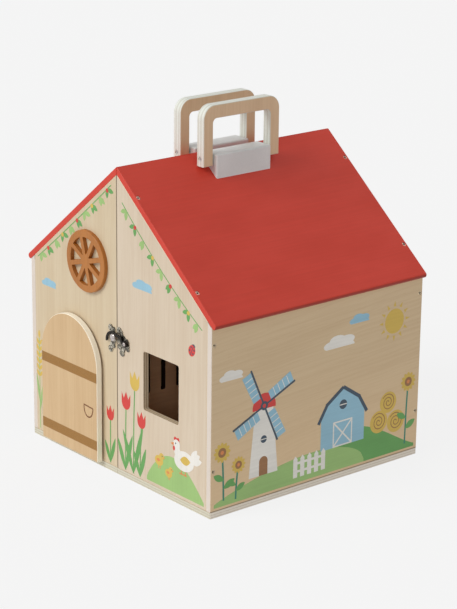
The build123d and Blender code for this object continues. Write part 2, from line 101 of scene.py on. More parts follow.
def put(tree, kind, sockets=None, **settings):
    """Adds a node. Each socket gets a plain value or the output of another node."""
    node = tree.nodes.new(f"ShaderNode{kind}")
    for key, value in settings.items():
        setattr(node, key, value)
    for key, value in (sockets or {}).items():
        if isinstance(value, bpy.types.NodeSocket):
            tree.links.new(value, node.inputs[key])
        else:
            node.inputs[key].default_value = value
    return node


def calc(tree, operation, *values, clamp=False):
    """One arithmetic step on numbers."""
    node = put(tree, "Math", dict(enumerate(values)), operation=operation, use_clamp=clamp)
    return node.outputs[0]


def mixed(tree, share, first, second, kind="MIX"):
    """First colour where the share is 0, second where it is 1."""
    node = put(tree, "Mix", {0: share, 6: first, 7: second}, data_type="RGBA", blend_type=kind)
    return node.outputs[2]


def ramp(tree, value, low, high, to_low=0.0, to_high=1.0):
    """Slides a value from one range to another, with soft ends."""
    node = put(tree, "MapRange", {0: value, 1: low, 2: high, 3: to_low, 4: to_high},
               interpolation_type="SMOOTHSTEP")
    return node.outputs[0]


print("mid grey is", round(screen(128, 128, 128)[0], 3), "in linear light")

# %% Noise and groups


def noise(tree, vector, scale, detail=3.0, rough=0.55):
    """Cloudy noise over a vector that may be stretched by a scale for each axis."""
    stretched = put(tree, "VectorMath", {0: vector, 1: scale}, operation="MULTIPLY")
    node = put(tree, "TexNoise", {"Vector": stretched.outputs[0], "Scale": 1.0, "Detail": detail,
                                  "Roughness": rough})
    return node.outputs[0]


def group(name, takes, *gives):
    """An empty node group that takes a point and the named inputs, and gives a colour,
    a height and the named numbers."""
    tree = bpy.data.node_groups.new(name, "ShaderNodeTree")
    for label, kind, value in (("Vector", "Vector", (0, 0, 0)), *takes):
        socket = tree.interface.new_socket(label, in_out="INPUT", socket_type=f"NodeSocket{kind}")
        socket.default_value = value
    for label, kind in (("Color", "Color"), ("Height", "Float"), *((give, "Float") for give in gives)):
        tree.interface.new_socket(label, in_out="OUTPUT", socket_type=f"NodeSocket{kind}")
    return tree, tree.nodes.new("NodeGroupInput").outputs, tree.nodes.new("NodeGroupOutput").inputs


print("node helpers ready")

# %% [markdown]
# ## Floor, backdrop and light
# A product picture on white has a pale floor that runs out of the picture. The
# floor could be made whiter with more light, but that would bleach the wood. So
# the floor itself is pale and adds light of its own, most of it only where the
# camera sees it, directly or in a shiny surface. One soft lamp stands in front
# and a little to the left, as in the picture, where the gables are the bright side.
# A second, weak one stands beside the camera and reaches in through the window.

# %% Floor
FLOOR_COLOUR = 0.09
FLOOR_GLOW = 0.837
BOUNCE_COLOUR = 0.45
BOUNCE_GLOW = 0.36
FLOOR_HALF = 9.0
FLOOR_GRID = 5
FLOOR_DROP = 0.0002


def seen_share(tree):
    """1 for rays that the camera, a shiny surface or glass sends out, else 0."""
    path = put(tree, "LightPath").outputs
    share = calc(tree, "MAXIMUM", path["Is Camera Ray"], path["Is Glossy Ray"])
    return calc(tree, "MAXIMUM", share, path["Is Transmission Ray"])


def make_floor():
    """A square grid, far wider than the picture, a hair below z = 0."""
    side = np.linspace(-FLOOR_HALF, FLOOR_HALF, FLOOR_GRID)
    x, y = np.meshgrid(side, side, indexing="ij")
    points = np.stack((x, y, np.full_like(x, -FLOOR_DROP)), axis=-1).reshape(-1, 3)
    index = np.arange(FLOOR_GRID ** 2).reshape(FLOOR_GRID, FLOOR_GRID)
    quads = np.stack((index[:-1, :-1], index[1:, :-1], index[1:, 1:], index[:-1, 1:]), axis=-1)
    mesh = bpy.data.meshes.new("floor")
    mesh.from_pydata(points.tolist(), [], quads.reshape(-1, 4).tolist())
    floor = bpy.data.objects.new("floor", mesh)
    bpy.context.scene.collection.objects.link(floor)
    material = bpy.data.materials.new("pale_floor")
    material.use_nodes = True
    tree = material.node_tree
    tree.nodes.clear()
    looks = []
    for shade, level in ((BOUNCE_COLOUR, BOUNCE_GLOW), (FLOOR_COLOUR, FLOOR_GLOW)):
        matt = put(tree, "BsdfDiffuse", {"Color": (shade,) * 3 + (1,)}).outputs[0]
        glow = put(tree, "Emission", {"Color": WHITE, "Strength": level}).outputs[0]
        looks.append(put(tree, "AddShader", {0: matt, 1: glow}).outputs[0])
    shown = put(tree, "MixShader", {0: seen_share(tree), 1: looks[0], 2: looks[1]}).outputs[0]
    put(tree, "OutputMaterial", {"Surface": shown})
    mesh.materials.append(material)


make_floor()
print("floor", 2 * FLOOR_HALF, "m wide")

# %% Sky and lamps
BACKDROP = screen(244, 244, 244)[0]
SKY_LEVEL = 0.45
LAMP_LEVEL = 0.53
LAMP_SPREAD = math.radians(32)
LAMP_TOWARDS = Vector((-0.19, -0.77, 0.61))
FILL_LEVEL = 0.055
FILL_SPREAD = math.radians(15)
FILL_TOWARDS = Vector((0.729, -0.612, 0.305))


def make_sky():
    """An even sky for the object, and the backdrop's own level where the camera looks."""
    world = bpy.data.worlds.new("studio")
    world.use_nodes = True
    tree = world.node_tree
    tree.nodes.clear()
    sky = put(tree, "Background", {"Color": WHITE, "Strength": SKY_LEVEL}).outputs[0]
    wall = put(tree, "Background", {"Color": WHITE, "Strength": BACKDROP}).outputs[0]
    shown = put(tree, "MixShader", {0: seen_share(tree), 1: sky, 2: wall}).outputs[0]
    put(tree, "OutputWorld", {"Surface": shown})
    bpy.context.scene.world = world
    bpy.context.scene.view_settings.view_transform = "Standard"


def make_lamp(name, level, towards, spread):
    """A lamp far off in one direction. Its level is the light on a surface that
    faces it, as a share of what makes a white surface show as white."""
    lamp = bpy.data.lights.new(name, "SUN")
    lamp.energy = level * math.pi
    lamp.angle = spread
    holder = bpy.data.objects.new(name, lamp)
    holder.rotation_mode = "QUATERNION"
    holder.rotation_quaternion = towards.to_track_quat("Z", "Y")
    bpy.context.scene.collection.objects.link(holder)
    return lamp


make_sky()
soft_lamp = make_lamp("soft_lamp", LAMP_LEVEL, LAMP_TOWARDS, LAMP_SPREAD)
fill_lamp = make_lamp("fill_lamp", FILL_LEVEL, FILL_TOWARDS, FILL_SPREAD)
print("lamps", round(soft_lamp.energy, 2), round(fill_lamp.energy, 2), "sky", SKY_LEVEL)

# %% [markdown]
# ## Wood grain
# Veneer is cut along the trunk, so its figure is long streaks: wide soft bands
# from the year rings, fine lines within them, and tiny dark pores. Each of
# these is noise that is stretched along the grain, and all wander together
# because the point is first pushed sideways by slow noise. The group takes a
# point whose x runs along the grain. A plain-cut veneer shows strong bands, a
# quarter-cut one almost none, so the share of the broad figure is an input.

# %% Grain
# Waves per metre: along the grain, then twice across it
WANDER_WAVES = (5.0, 16.0, 16.0)
BAND_WAVES = (2.5, 62.0, 62.0)
LINE_WAVES = (9.0, 460.0, 460.0)
PORE_WAVES = (75.0, 1700.0, 1700.0)
CLOUD_WAVES = (9.0, 22.0, 22.0)
WANDER_REACH = 0.016
# The levels of each noise between which it turns from pale to dark
BAND_RISE, CLOUD_RISE, LINE_RISE, PORE_RISE = (0.3, 0.7), (0.3, 0.75), (0.32, 0.72), (0.66, 0.76)
# How much of the dark colour each kind of figure adds
BAND_DARK, CLOUD_DARK, LINE_DARK, PORE_DARK = 0.34, 0.28, 0.3, 0.22
LINE_DEPTH, PORE_DEPTH = -0.3, -0.7


def make_grain():
    """Share of dark = weighted sum of band, cloud, line and pore noise, times the strength."""
    tree, take, give = group("wood_grain", (("Pale", "Color", WHITE), ("Dark", "Color", BLACK),
                                            ("Strength", "Float", 1.0), ("Figure", "Float", 1.0)))
    wander = noise(tree, take["Vector"], WANDER_WAVES, 2.0)
    shift = calc(tree, "MULTIPLY", calc(tree, "SUBTRACT", wander, 0.5), WANDER_REACH)
    push = put(tree, "CombineXYZ", {"Y": shift, "Z": shift}).outputs[0]
    point = put(tree, "VectorMath", {0: take["Vector"], 1: push}, operation="ADD").outputs[0]
    bands = ramp(tree, noise(tree, point, BAND_WAVES, 2.0), *BAND_RISE)
    lines = ramp(tree, noise(tree, point, LINE_WAVES, 4.0, 0.6), *LINE_RISE)
    pores = ramp(tree, noise(tree, point, PORE_WAVES, 1.0), *PORE_RISE)
    clouds = ramp(tree, noise(tree, take["Vector"], CLOUD_WAVES, 2.0), *CLOUD_RISE)
    broad = calc(tree, "MULTIPLY_ADD", bands, BAND_DARK, calc(tree, "MULTIPLY", clouds, CLOUD_DARK))
    dark = calc(tree, "MULTIPLY", broad, take["Figure"])
    dark = calc(tree, "MULTIPLY_ADD", lines, LINE_DARK, dark)
    dark = calc(tree, "MULTIPLY_ADD", pores, PORE_DARK, dark)
    share = calc(tree, "MULTIPLY", dark, take["Strength"], clamp=True)
    tree.links.new(mixed(tree, share, take["Pale"], take["Dark"]), give["Color"])
    relief = calc(tree, "MULTIPLY_ADD", pores, PORE_DEPTH, calc(tree, "MULTIPLY", lines, LINE_DEPTH))
    tree.links.new(relief, give["Height"])
    return tree


GRAIN = make_grain()
print(GRAIN.name, "has", len(GRAIN.nodes), "nodes")

# %% [markdown]
# ## Cut plies and brushed paint
# A cut edge of plywood shows its five layers. Every second one is end grain,
# which is darker, and a thin glue line lies at each change. Thin sheets could be
# modelled, but how deep a point lies in the board tells a material as much.
# Paint on such a toy is brushed on thinly, so its tint is a little uneven and the
# grain still shows under it.

# %% Ply layers and paint
PLIES = 5.0
PLY_WOBBLE = 0.16
WOBBLE_WAVES = (120.0, 120.0, 120.0)
SPECK_WAVES = (900.0, 900.0, 900.0)
END_GRAIN_DARK, GLUE_DARK, SPECK_DARK = 0.55, 0.4, 0.2
ODD_FALL, GLUE_RISE, SPECK_RISE = (0.2, 0.3, 1.0, 0.0), (0.42, 0.5), (0.45, 0.7)
COAT_WAVES = (14.0, 30.0, 30.0)
BRUSH_WAVES = (10.0, 520.0, 520.0)
CLOUD_SHARE, BRUSH_SHARE = 0.65, 0.35
COAT_RISE = (0.3, 0.7)
COAT_ROUGHNESS = (0.36, 0.48)


def make_layers():
    """Five plies in a board: the share through it times five, odd plies end grain and
    darker, with a thin glue line at each change."""
    tree, take, give = group("ply_layers", (("Through", "Float", 0.0), ("Pale", "Color", WHITE),
                                            ("Dark", "Color", BLACK)))
    wobble = calc(tree, "MULTIPLY", noise(tree, take["Vector"], WOBBLE_WAVES, 1.0), PLY_WOBBLE)
    level = calc(tree, "MULTIPLY_ADD", take["Through"], PLIES, wobble)
    inside = calc(tree, "FRACT", calc(tree, "MULTIPLY", level, 0.5))
    odd = ramp(tree, calc(tree, "ABSOLUTE", calc(tree, "SUBTRACT", inside, 0.5)), *ODD_FALL)
    glue = calc(tree, "ABSOLUTE", calc(tree, "SUBTRACT", calc(tree, "FRACT", level), 0.5))
    glue = ramp(tree, glue, *GLUE_RISE)
    specks = ramp(tree, noise(tree, take["Vector"], SPECK_WAVES, 2.0), *SPECK_RISE)
    dark = calc(tree, "MULTIPLY_ADD", odd, END_GRAIN_DARK, calc(tree, "MULTIPLY", glue, GLUE_DARK))
    dark = calc(tree, "MULTIPLY_ADD", specks, SPECK_DARK, dark, clamp=True)
    tree.links.new(mixed(tree, dark, take["Pale"], take["Dark"]), give["Color"])
    tree.links.new(calc(tree, "MULTIPLY", dark, -1.0), give["Height"])
    return tree


def make_paint():
    """Brushed paint over wood: a faint cloudy tint, and the grain still shows as relief."""
    tree, take, give = group("brushed_paint", (("Paint", "Color", WHITE), ("Unevenness", "Float", 0.08)),
                             "Roughness")
    clouds = noise(tree, take["Vector"], COAT_WAVES, 3.0)
    lines = noise(tree, take["Vector"], BRUSH_WAVES, 3.0)
    depth = calc(tree, "MULTIPLY_ADD", clouds, CLOUD_SHARE, calc(tree, "MULTIPLY", lines, BRUSH_SHARE))
    share = calc(tree, "MULTIPLY", ramp(tree, depth, *COAT_RISE), take["Unevenness"], clamp=True)
    tree.links.new(mixed(tree, share, take["Paint"], BLACK), give["Color"])
    tree.links.new(lines, give["Height"])
    tree.links.new(ramp(tree, clouds, *COAT_RISE, *COAT_ROUGHNESS), give["Roughness"])
    return tree


LAYERS = make_layers()
PAINT = make_paint()
print("groups", [g.name for g in bpy.data.node_groups])

# %% [markdown]
# ## One recipe for every board
# Every board of the farm is flat ply, so one recipe serves them all: it asks
# along which axis the grain runs and through which axis the board is thin. A
# surface that looks along the thin axis is a face and shows veneer. Any other
# surface is a cut edge, and shows either the plies or a plain coat that the maker
# brushed on. The surface's own direction tells which is which.

# %% Starting, filling and ending a material
AXES = {"X": (1, 0, 0), "Y": (0, 1, 0), "Z": (0, 0, 1)}
FRONT = (0, -1, 0)
BUMP_STRENGTH = 0.6


def start_material(name):
    """An empty net, with the outputs that tell where a point is and how it is turned."""
    material = bpy.data.materials.new(name)
    material.use_nodes = True
    tree = material.node_tree
    tree.nodes.clear()
    return material, tree, put(tree, "TexCoord").outputs


def along(tree, vector, direction):
    """How far a vector reaches along a direction."""
    node = put(tree, "VectorMath", {0: vector, 1: direction}, operation="DOT_PRODUCT")
    return node.outputs["Value"]


def reaches(tree, place, *directions):
    """A point whose x, y and z are how far the place reaches along each direction."""
    parts = {letter: along(tree, place["Object"], way) for letter, way in zip("XYZ", directions)}
    return put(tree, "CombineXYZ", parts).outputs[0]


def facing(tree, place, direction):
    """1 where the surface looks along the direction or against it, 0 where it looks past."""
    return calc(tree, "ABSOLUTE", along(tree, place["Normal"], direction))


def fill_group(tree, shared, sockets):
    """Places a shared group and fills its named inputs."""
    return put(tree, "Group", sockets, node_tree=shared).outputs


def finish_material(material, tree, colour, roughness, height, relief=0.0001, **constants):
    """Ends a net in one Principled shader, with the relief as bump."""
    bump = put(tree, "Bump", {"Strength": BUMP_STRENGTH, "Distance": relief, "Height": height})
    shader = put(tree, "BsdfPrincipled", {"Base Color": colour, "Roughness": roughness,
                                          "Normal": bump.outputs[0], **constants})
    put(tree, "OutputMaterial", {"Surface": shader.outputs[0]})
    return material


def dress(material, *nodes):
    """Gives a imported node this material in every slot."""
    for node in nodes:
        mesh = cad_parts[node].data
        if not mesh.materials:
            mesh.materials.append(material)
        for index in range(len(mesh.materials)):
            mesh.materials[index] = material
    print(material.name, "on", ", ".join(nodes))


print("the front looks along", FRONT)

# %% Board recipe
PLY = 0.006
FACE_FROM, FACE_TO = 0.82, 0.96
FACE_ROUGHNESS = 0.52
PORE_ROUGHNESS = 0.12
EDGE_UNEVENNESS = 0.06
BARE_PLIES = [screen(226, 208, 178), screen(158, 122, 84)]
WHITE_PLIES = [screen(232, 235, 226), screen(204, 202, 188)]
EDGE_CREAM = screen(223, 211, 199)


def board(name, grain, thin, start, pale, dark, strength, edge=BARE_PLIES, slant=0.0, seed=0.0,
          over=None, figure=1.0, thick=PLY):
    """Veneer on the faces, bare or whitewashed plies or plain paint on the cut edges.
    The face share rises from 0 to 1 as the surface turns to the board's thin axis.
    A last step may tint some places over both."""
    material, tree, place = start_material(name)
    across = next(a for a in "XYZ" if a not in (grain, thin))
    lengthwise = Vector(AXES[grain]) * math.cos(slant) + Vector(AXES[across]) * math.sin(slant)
    sideways = Vector(AXES[across]) * math.cos(slant) - Vector(AXES[grain]) * math.sin(slant)
    point = reaches(tree, place, lengthwise, sideways, AXES[thin])
    point = put(tree, "VectorMath", {0: point, 1: (seed, seed, 0)}, operation="ADD").outputs[0]
    face = ramp(tree, facing(tree, place, AXES[thin]), FACE_FROM, FACE_TO)
    veneer = fill_group(tree, GRAIN, {"Vector": point, "Pale": pale, "Dark": dark, "Strength": strength,
                                      "Figure": figure})
    if isinstance(edge, list):
        inward = calc(tree, "SUBTRACT", along(tree, place["Object"], AXES[thin]), start)
        through = calc(tree, "DIVIDE", inward, thick)
        cut = fill_group(tree, LAYERS, {"Vector": place["Object"], "Through": through, "Pale": edge[0],
                                        "Dark": edge[1]})
    else:
        cut = fill_group(tree, PAINT, {"Vector": point, "Paint": edge, "Unevenness": EDGE_UNEVENNESS})
    colour = mixed(tree, face, cut["Color"], veneer["Color"])
    if over:
        colour = over(tree, place, colour)
    height = calc(tree, "ADD", calc(tree, "MULTIPLY", veneer["Height"], face),
                  calc(tree, "MULTIPLY", cut["Height"], calc(tree, "SUBTRACT", 1.0, face)))
    roughness = ramp(tree, veneer["Height"], -0.8, 0.0, FACE_ROUGHNESS + PORE_ROUGHNESS, FACE_ROUGHNESS)
    return finish_material(material, tree, colour, roughness, height)


print("a board is", PLY / MM, "mm thick")

# %% [markdown]
# ## The walls
# The gables are cut with the grain upright and the side walls with the grain
# lying down. The left gable is a little warmer than the right one. The ends of
# the side walls, which frame each gable, are painted cream.

# %% Gables, side walls and base
GABLE_FRONT, REAR_INSIDE = -0.127, 0.121
WALL_OUTSIDE, WALL_INSIDE = 0.135, 0.129
JOINT_FROM, JOINT_TO = 6.3 * MM, 7.2 * MM
EAVE_FROM, EAVE_TO = 176.0 * MM, 179.0 * MM
FOOT_FROM, FOOT_TO = 8.0 * MM, 130.0 * MM
SEAM_FROM, SEAM_TO = 0.3 * MM, 1.0 * MM
# Painted shade: the brown laid into the base joint, under the eave and along the gables' seam
PAINTED_SHADE_BROWN = screen(84, 60, 40)
# Painted light: a golden tint for the floor's bounce near the foot of the side walls
FOOT_BOUNCE_GOLD = screen(238, 204, 160)
BASE_END_TINT = (0.76, 0.79, 0.73, 1)
JOINT_DARK, SEAM_DARK, FOOT_BOUNCE_SHARE = 0.8, 0.7, 0.45


def painted_wall_shade_and_bounce(tree, place, colour):
    """Painted shade in the joint above the base, and a painted shadow below the eave.
    Towards its foot the wood is painted paler and more golden, as painted bounce
    light from the floor. Only the faces have any of this."""
    height = along(tree, place["Object"], AXES["Z"])
    face = ramp(tree, facing(tree, place, AXES["X"]), 0.2, 0.5)
    foot = ramp(tree, height, FOOT_FROM, FOOT_TO, FOOT_BOUNCE_SHARE, 0.0)
    # Painted shade: dark near the base joint and under the eave
    shade_share = calc(tree, "MAXIMUM", ramp(tree, height, EAVE_FROM, EAVE_TO, 0.0, JOINT_DARK),
                ramp(tree, height, JOINT_FROM, JOINT_TO, JOINT_DARK, 0.0))
    colour = mixed(tree, calc(tree, "MULTIPLY", foot, face), colour, FOOT_BOUNCE_GOLD)
    return mixed(tree, calc(tree, "MULTIPLY", shade_share, face), colour, PAINTED_SHADE_BROWN)


def base_shade(tree, place, colour):
    """The front and rear edges of the base are less white than its sides."""
    end = ramp(tree, facing(tree, place, AXES["Y"]), 0.5, 0.9)
    return mixed(tree, end, colour, BASE_END_TINT, "MULTIPLY")


def seam_shade(tree, place, colour):
    """Painted shade along the seam where the two gables meet, darkest at x = 0."""
    apart = calc(tree, "ABSOLUTE", along(tree, place["Object"], AXES["X"]))
    return mixed(tree, ramp(tree, apart, SEAM_FROM, SEAM_TO, SEAM_DARK, 0.0), colour, PAINTED_SHADE_BROWN)


dress(board("gable_ply_right", "Z", "Y", GABLE_FRONT, screen(219, 203, 181), screen(180, 148, 110), 0.5,
            over=seam_shade, figure=0.7), "right_front_gable")
dress(board("gable_ply_left", "Z", "Y", GABLE_FRONT, screen(216, 199, 169), screen(180, 146, 102), 0.5,
            seed=0.31, over=seam_shade, figure=0.7), "left_front_gable")
dress(board("gable_ply_rear", "Z", "Y", REAR_INSIDE, screen(226, 208, 180), screen(186, 150, 108), 0.6,
            seed=0.77), "right_rear_gable", "left_rear_gable")
WALL_PALE, WALL_DARK = screen(217, 191, 153), screen(174, 138, 96)
dress(board("wall_ply_right", "Y", "X", WALL_INSIDE, WALL_PALE, WALL_DARK, 0.55, edge=EDGE_CREAM,
            slant=math.radians(4), over=painted_wall_shade_and_bounce, figure=0.35), "right_side_wall")
dress(board("wall_ply_left", "Y", "X", -WALL_OUTSIDE, WALL_PALE, WALL_DARK, 0.55, edge=EDGE_CREAM,
            slant=math.radians(-3), seed=0.53, over=painted_wall_shade_and_bounce, figure=0.35), "left_side_wall")
dress(board("base_ply", "Y", "Z", 0.0, screen(222, 198, 164), screen(176, 138, 98), 0.6,
            edge=[screen(242, 233, 219), screen(214, 199, 180)], over=base_shade), "right_base", "left_base")

# %% [markdown]
# ## Inside boards
# The loft floors, the slotted fence and the stall divider are bare ply. Little
# light gets in while the house is shut, so their veneer has to be pale for the
# fence to show through the window. A laser cut its slots, and their walls are
# coloured nearly black as painted shade for the dark space seen through them.
# The handles are whitewashed on their cut edges.

# %% Inside boards and handles
LOFT_UNDERSIDE, FENCE_LEFT, DIVIDER_FRONT = 0.15, -0.02, 0.02
HANDLE_INSIDE, HANDLE_THICK = 0.012, 0.010
INSIDE_PALE, INSIDE_DARK = screen(232, 208, 172), screen(182, 140, 98)
# Painted shade: the fence's slot walls stand in for the dark space behind the slots
SLOT_SHADE = screen(52, 34, 24)
dress(board("loft_ply", "Y", "Z", LOFT_UNDERSIDE, INSIDE_PALE, INSIDE_DARK, 0.6),
      "right_loft_floor", "left_loft_floor")
dress(board("fence_ply", "Y", "X", FENCE_LEFT, screen(248, 200, 160), screen(204, 142, 100), 0.6,
            edge=SLOT_SHADE), "left_slotted_fence")
dress(board("divider_ply", "X", "Y", DIVIDER_FRONT, INSIDE_PALE, INSIDE_DARK, 0.6, seed=0.2),
      "right_stall_divider")
dress(board("handle_beech", "Z", "X", HANDLE_INSIDE, screen(226, 196, 160), screen(184, 146, 106), 0.5,
            edge=WHITE_PLIES, thick=HANDLE_THICK), "right_handle", "left_handle")

# %% [markdown]
# ## Painted and stained parts
# The roof is satin red outside and bare inside. Its paint is thin enough that
# the grain shows as slight relief, and the eave's downturned edge is darkened as
# painted shade. The wheel is stained, and every surface of it that doesn't look
# forward, the cut walls of its wedges among them, is darker than its face.
# The door's two rails could be thin plates, but they run from edge to edge and
# are as flat as the veneer, so they are a tint between two heights.

# %% Roof, blocks, wheel and door
ROOF_PITCH = math.radians(38.8)
# The second red is painted shade, for where the eave's edge turns down
ROOF_RED, EAVE_SHADE_RED = screen(212, 68, 52), screen(140, 42, 26)
ROOF_PALE, ROOF_DARK = screen(222, 192, 152), screen(168, 124, 80)
INNER_FALL, EAVE_RISE = (-0.9, -0.7, 1.0, 0.0), (0.25, 0.9, 0.0, 0.85)
ROOF_RELIEF, PAINT_RELIEF = 0.06 * MM, 0.05 * MM
WHEEL_PALE, WHEEL_DARK = screen(192, 122, 50), screen(133, 75, 20)
# A tint that darkens every surface of the wheel that doesn't look forward
SIDE_TINT = (0.9, 0.84, 0.66, 1)
STAIN_ROUGHNESS = 0.46
# Millimetres: the foot and the top of each rail on the door, and how soft its rim is
RAILS = ((17.5, 27.0), (84.0, 93.4))
RAIL_RIM = 0.15
RAIL_PALE, RAIL_DARK = screen(162, 116, 50), screen(138, 96, 36)
RAIL_WAVES = (1500.0, 1500.0, 1500.0)
DOOR_FRONT = -0.1346


def roof_paint(name, side):
    """Red where the surface doesn't look down and in, else bare ply. Where the eave's
    edge turns down, the red is darkened as painted shade."""
    material, tree, place = start_material(name)
    outward = (side * math.sin(ROOF_PITCH), 0.0, math.cos(ROOF_PITCH))
    down = (side * math.cos(ROOF_PITCH), 0.0, -math.sin(ROOF_PITCH))
    point = reaches(tree, place, AXES["Y"], down, outward)
    paint = fill_group(tree, PAINT, {"Vector": point, "Paint": ROOF_RED, "Unevenness": 0.1})
    veneer = fill_group(tree, GRAIN, {"Vector": point, "Pale": ROOF_PALE, "Dark": ROOF_DARK,
                                      "Strength": 0.7})
    inner = ramp(tree, along(tree, place["Normal"], outward), *INNER_FALL)
    painted_shade_down = ramp(tree, along(tree, place["Normal"], down), *EAVE_RISE)
    red = mixed(tree, painted_shade_down, paint["Color"], EAVE_SHADE_RED)
    colour = mixed(tree, inner, red, veneer["Color"])
    return finish_material(material, tree, colour, paint["Roughness"], paint["Height"], ROOF_RELIEF,
                           **{"Specular IOR Level": 0.25})


def plain_paint(name, paint):
    """One coat of brushed paint all over."""
    material, tree, place = start_material(name)
    coat = fill_group(tree, PAINT, {"Vector": place["Object"], "Paint": paint})
    return finish_material(material, tree, coat["Color"], coat["Roughness"], coat["Height"], PAINT_RELIEF)


def wheel_stain():
    """Orange-brown stain, darker on every surface that doesn't look forward."""
    material, tree, place = start_material("wheel_stained")
    point = reaches(tree, place, AXES["Z"], AXES["X"], AXES["Y"])
    veneer = fill_group(tree, GRAIN, {"Vector": point, "Pale": WHEEL_PALE, "Dark": WHEEL_DARK,
                                      "Strength": 0.7})
    face = ramp(tree, along(tree, place["Normal"], FRONT), 0.2, 0.9)
    darker_sides = mixed(tree, 1.0, veneer["Color"], SIDE_TINT, "MULTIPLY")
    colour = mixed(tree, face, darker_sides, veneer["Color"])
    return finish_material(material, tree, colour, STAIN_ROUGHNESS, veneer["Height"])


def door_bands(tree, place, colour):
    """Two printed rails: full where the height lies inside a rail's range."""
    height = along(tree, place["Object"], AXES["Z"])
    front = ramp(tree, along(tree, place["Normal"], FRONT), 0.8, 0.95)
    for low, high in RAILS:
        inside = calc(tree, "MULTIPLY", ramp(tree, height, (low - RAIL_RIM) * MM, (low + RAIL_RIM) * MM),
                      ramp(tree, height, (high - RAIL_RIM) * MM, (high + RAIL_RIM) * MM, 1.0, 0.0))
        specks = ramp(tree, noise(tree, place["Object"], RAIL_WAVES, 2.0), 0.35, 0.7)
        brown = mixed(tree, specks, RAIL_PALE, RAIL_DARK)
        colour = mixed(tree, calc(tree, "MULTIPLY", inside, front), colour, brown)
    return colour


dress(roof_paint("roof_red_right", 1), "right_roof")
dress(roof_paint("roof_red_left", -1), "left_roof")
dress(plain_paint("block_white", screen(220, 220, 218)), "right_handle_block", "left_handle_block")
dress(wheel_stain(), "left_wheel_window")
dress(board("door_ply", "Z", "Y", DOOR_FRONT, screen(215, 184, 141), screen(182, 141, 94), 0.5,
            edge=screen(255, 246, 226), seed=0.11, over=door_bands), "door_panel")

# %% [markdown]
# ## Plated metal
# Steel and nickel are a metal shader with small scratches and tarnish. Screw
# slots are darkened as painted shade, and dirt stays in the latch's embossed lines,
# where a finger can't rub it off. A polished hook mirrors what is around it, so
# it is given a dark metal as a painted reflection of dark surroundings, while its
# plates and posts stay bright.

# %% Screws, hinges and latch
# Painted shade in screw recesses, and dirt in the latch's embossed lines
SHADE_AND_DIRT = screen(30, 24, 20)
RECESS_SHADE_SHARE, SCROLL_SHARE = 0.85, 0.8
SCROLL = 3.2 * MM
SCRATCH_WAVES = (300.0, 2600.0, 2600.0)
SCRATCH_LOW, SCRATCH_HIGH = 0.75, 1.4
SCRATCH_RELIEF = 0.02 * MM
ZINC_BRIGHT, ZINC_DULL = screen(214, 196, 166), screen(140, 118, 92)
SCREW_AXES = {"wall_screws": AXES["X"], "base_screws": AXES["Z"], "screws_left": AXES["Y"],
              "screws_right": AXES["Y"]}


def metal(name, bright, dull, roughness, tarnish=0.5, cloud=420.0, axis=None, scroll=0.0):
    """Plated metal: cloudy tarnish and fine scratches change its colour and its gloss.
    With an axis, all that doesn't look along it is darkened as painted shade. With
    a scroll size, dirt lies in embossed lines, the borders between random cells."""
    material, tree, place = start_material(name)
    clouds = ramp(tree, noise(tree, place["Object"], (cloud, cloud, cloud), 3.0), 0.35, 0.7)
    scratches = noise(tree, place["Object"], SCRATCH_WAVES, 2.0)
    colour = mixed(tree, calc(tree, "MULTIPLY", clouds, tarnish), bright, dull)
    if axis:
        # Painted shade: in a screw's recess, surfaces that don't look along its axis are darkened
        recess_shade = ramp(tree, facing(tree, place, axis), 0.8, 0.95, RECESS_SHADE_SHARE, 0.0)
        colour = mixed(tree, recess_shade, colour, SHADE_AND_DIRT)
    if scroll:
        cells = put(tree, "TexVoronoi", {"Vector": place["Object"], "Scale": 1 / scroll},
                    feature="DISTANCE_TO_EDGE").outputs["Distance"]
        colour = mixed(tree, ramp(tree, cells, 0.05, 0.15, SCROLL_SHARE, 0.0), colour, SHADE_AND_DIRT)
    rough = ramp(tree, scratches, 0.3, 0.7, roughness * SCRATCH_LOW, roughness * SCRATCH_HIGH)
    return finish_material(material, tree, colour, rough, scratches, SCRATCH_RELIEF, Metallic=1.0)


for kind, axis in SCREW_AXES.items():
    dress(metal(f"zinc_{kind}", ZINC_BRIGHT, ZINC_DULL, 0.3, axis=axis),
          *[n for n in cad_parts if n.endswith(kind)])
for side, half in ((1, "right"), (-1, "left")):
    slope = (side * math.sin(ROOF_PITCH), 0, math.cos(ROOF_PITCH))
    dress(metal(f"zinc_{half}_roof", screen(236, 196, 180), screen(104, 62, 52), 0.2, 0.9, 520.0, axis=slope),
          f"{half}_roof_screws", f"{half}_block_screws")
dress(plain_paint("pivot_white", screen(206, 206, 202)), "right_pivot_screws", "left_pivot_screws")
dress(metal("zinc_small", ZINC_BRIGHT, ZINC_DULL, 0.3),
      *[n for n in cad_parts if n.startswith("door_hinge_screws")])
dress(metal("hinge_plate", screen(206, 202, 192), screen(160, 154, 142), 0.34, 0.6, 70.0),
      *[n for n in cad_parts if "hinge" in n and "screws" not in n])
dress(metal("latch_plate_nickel", screen(206, 200, 184), screen(104, 98, 86), 0.34, 0.8, 260.0,
            scroll=SCROLL), "latch_catch_plate", "latch_hook_plate", "latch_catch_nails", "latch_hook_nails")
dress(metal("latch_post_nickel", screen(214, 206, 202), screen(96, 84, 80), 0.16, 0.6, 200.0),
      "latch_stud", "latch_rivet")
# Painted reflection: the hook's dark colour stands in for dark surroundings mirrored in polished metal
dress(metal("latch_hook_painted_reflection", screen(58, 54, 50), screen(20, 18, 16), 0.16, 0.9, 200.0), "latch_hook")

# %% [markdown]
# ## Printed pictures as thin plates
# The walls carry flat screen-printed pictures. They could be drawn with nodes,
# but a real print is a film of ink with a crisp rim, so here each shape is an
# outline, worked out from a formula, that becomes a closed plate a few
# hundredths of a millimetre thick. Shapes that lie over others stand one step
# higher. All the shapes of one wall make one piece, with one material per ink.

# %% Round outlines


